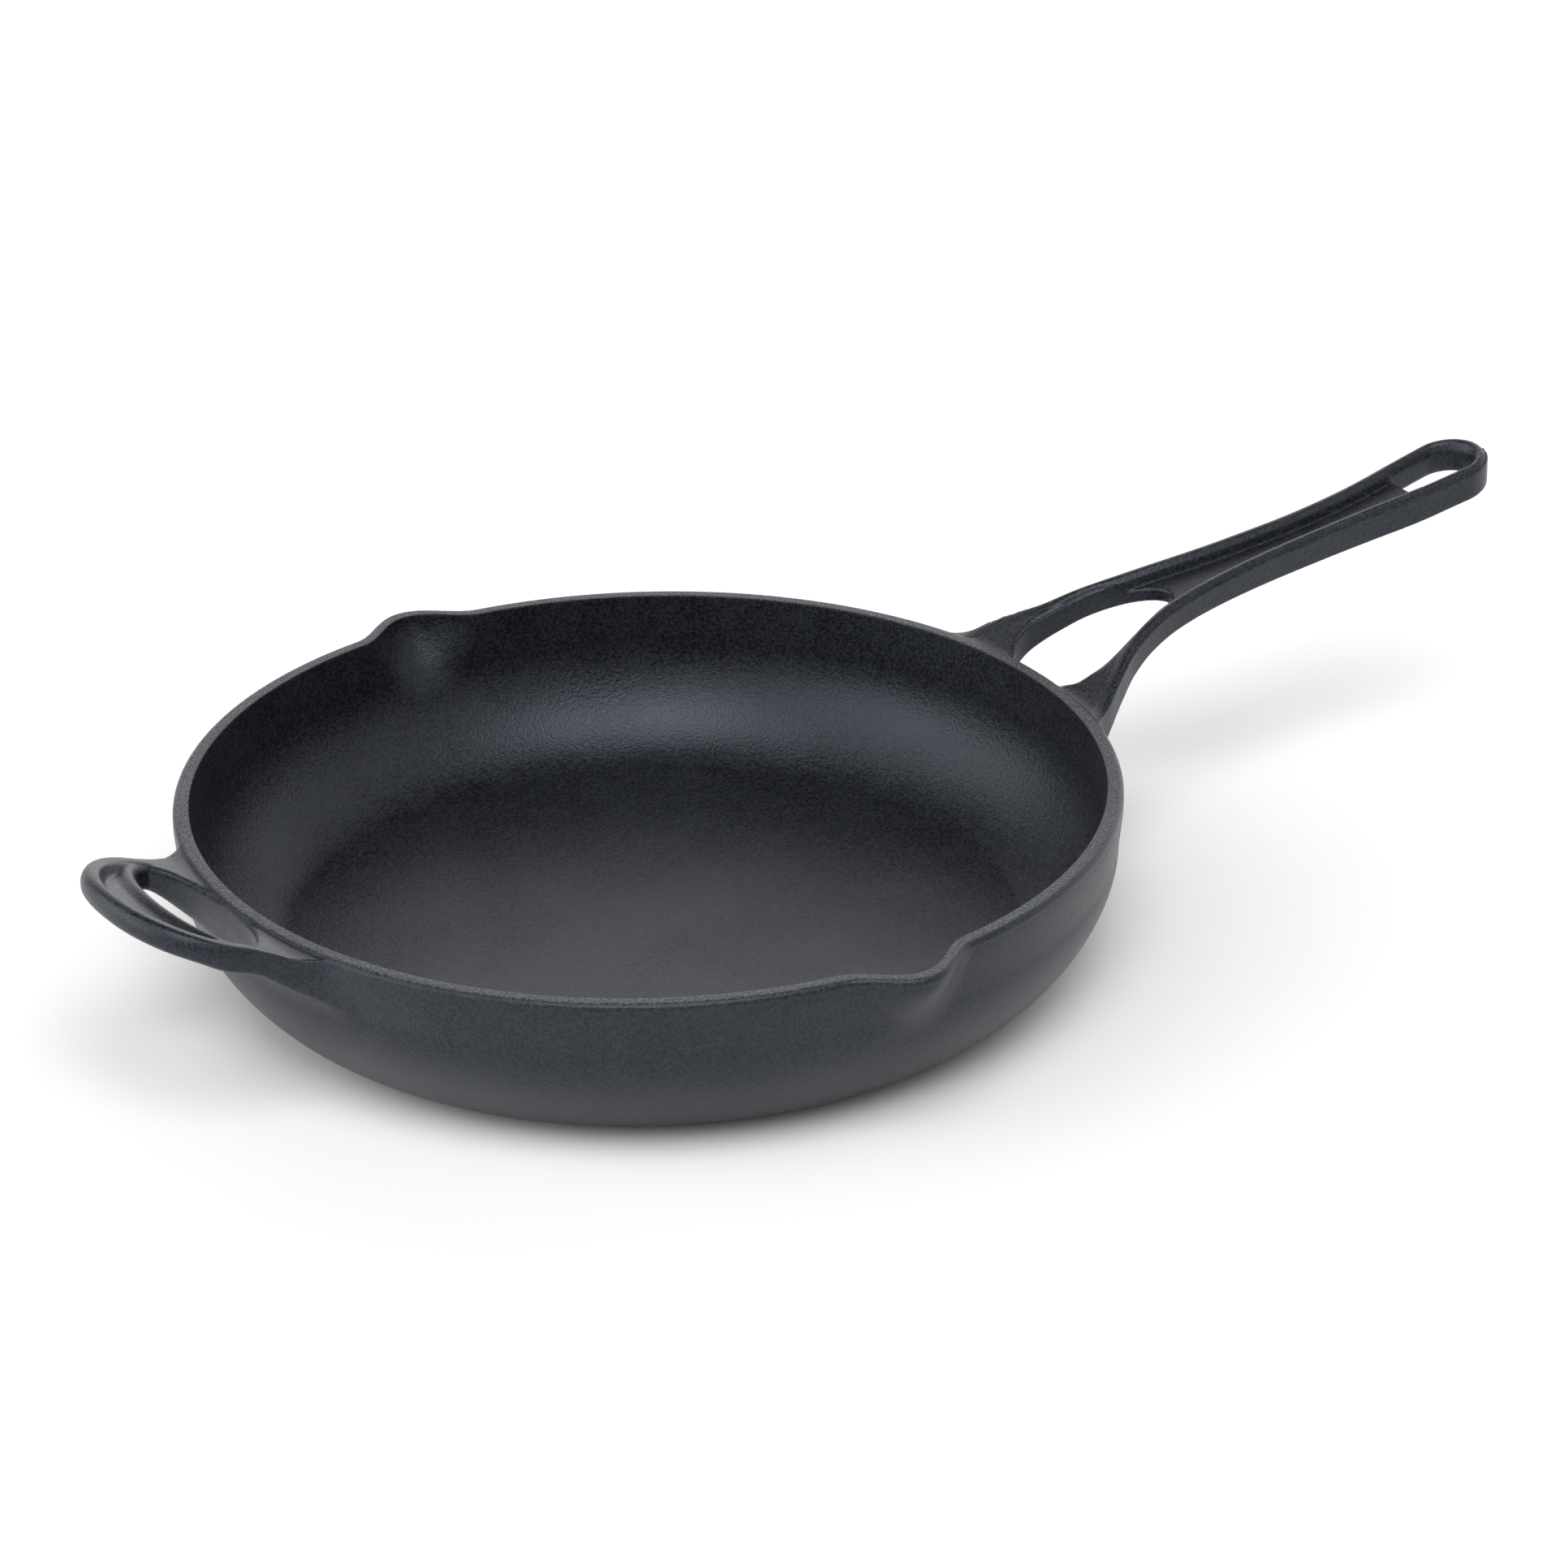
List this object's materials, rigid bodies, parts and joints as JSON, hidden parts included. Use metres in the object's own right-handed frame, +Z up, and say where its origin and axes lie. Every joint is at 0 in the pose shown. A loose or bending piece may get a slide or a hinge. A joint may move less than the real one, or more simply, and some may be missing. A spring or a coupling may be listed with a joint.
{
  "type": "cast iron skillet",
  "caption": "Round cast-iron skillet with pouring lips, a forked long handle with a hanging hole and a short looped helper handle",
  "frame": {"origin": "Middle of the flat base, on the surface the skillet stands on", "axes": "+X along the long handle, +Z up out of the pan, +Y towards one pouring lip"},
  "size_m": [0.5323, 0.3244, 0.0958],
  "materials": {
    "cast_iron": "satin seasoned casting with a fine sand grain"
  },
  "bodies": {
    "root": {"pan_body": "cast_iron", "long_handle": "cast_iron", "helper_handle": "cast_iron"}
  },
  "joints": []
}
